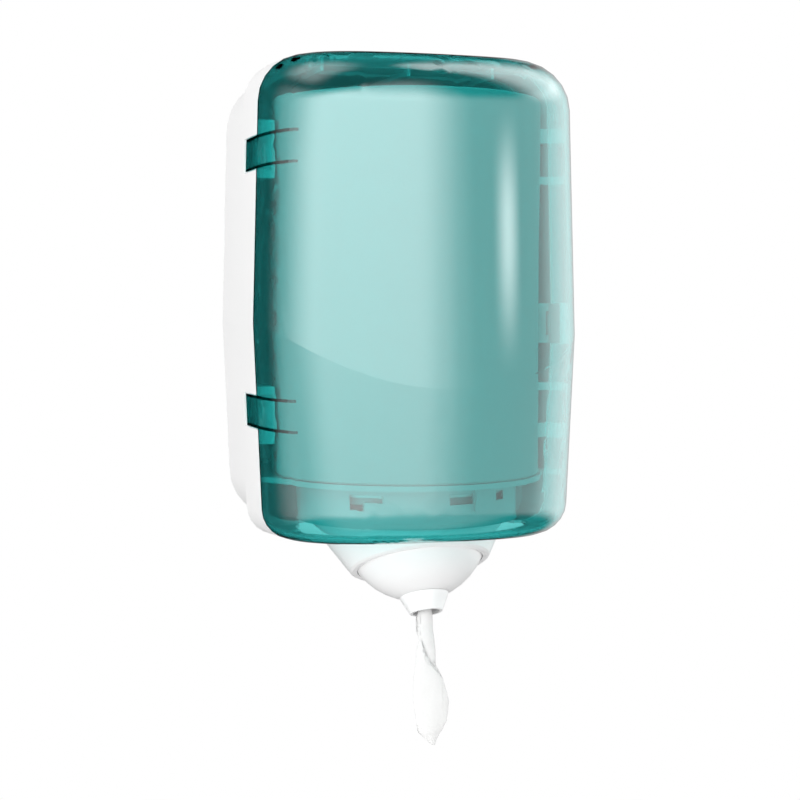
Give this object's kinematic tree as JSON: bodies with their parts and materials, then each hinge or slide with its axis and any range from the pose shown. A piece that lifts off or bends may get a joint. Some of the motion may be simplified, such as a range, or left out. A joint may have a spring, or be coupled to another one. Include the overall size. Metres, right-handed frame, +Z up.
{
  "type": "centrefeed roll dispenser",
  "caption": "Wall-hung centrefeed paper roll dispenser with a white back housing, a hinged transparent bulged cover and a swivelling tilted nozzle.",
  "frame": {"origin": "centre of the four wall screws, on the wall face of the housing", "axes": "+Z up, +Y into the wall, -Y the front of the dispenser, +X to the right of someone who faces it"},
  "size_m": [0.169, 0.162, 0.3531],
  "materials": {
    "housing_plastic": "satin white moulded plastic",
    "cover_plastic": "transparent turquoise moulded plastic, glossy",
    "nozzle_plastic": "satin white moulded plastic",
    "drum_plastic": "satin pale moulded plastic",
    "steel": "plain steel",
    "paper": "white wiping paper",
    "soft_plastic": "soft light grey ring"
  },
  "bodies": {
    "housing": {"back_housing": "housing_plastic", "hinge_pin_upper": "steel", "hinge_pin_lower": "steel", "roll_shelf": "housing_plastic", "shelf_screws": "steel", "keeper_ring": "nozzle_plastic", "latch_block": "housing_plastic", "return_spring": "steel", "paper_roll": "paper"},
    "cover": {"cover_shell": "cover_plastic", "cover_catch": "housing_plastic"},
    "nozzle": {"turntable_drum": "drum_plastic", "nozzle_collar": "nozzle_plastic", "nozzle_dome": "nozzle_plastic", "nozzle_spout": "nozzle_plastic", "paper_brake": "soft_plastic", "paper_tail": "paper"},
    "button": {"release_button": "housing_plastic"}
  },
  "joints": [
    {"name": "cover_hinge", "type": "hinge", "parent": "housing", "child": "cover", "pos_m": [-0.07746, -0.0632, -0.0146], "axis": [0, 0, -1], "range_deg": [0, 110]},
    {"name": "nozzle_swivel", "type": "hinge", "parent": "housing", "child": "nozzle", "pos_m": [0, -0.078, -0.117], "axis": [0, 0, 1], "continuous": true},
    {"name": "button_press", "type": "slide", "parent": "housing", "child": "button", "axis": [-1, 0, 0], "range_m": [0, 0.002], "stiffness_N_per_m": 400, "deforming": ["return_spring"]}
  ]
}
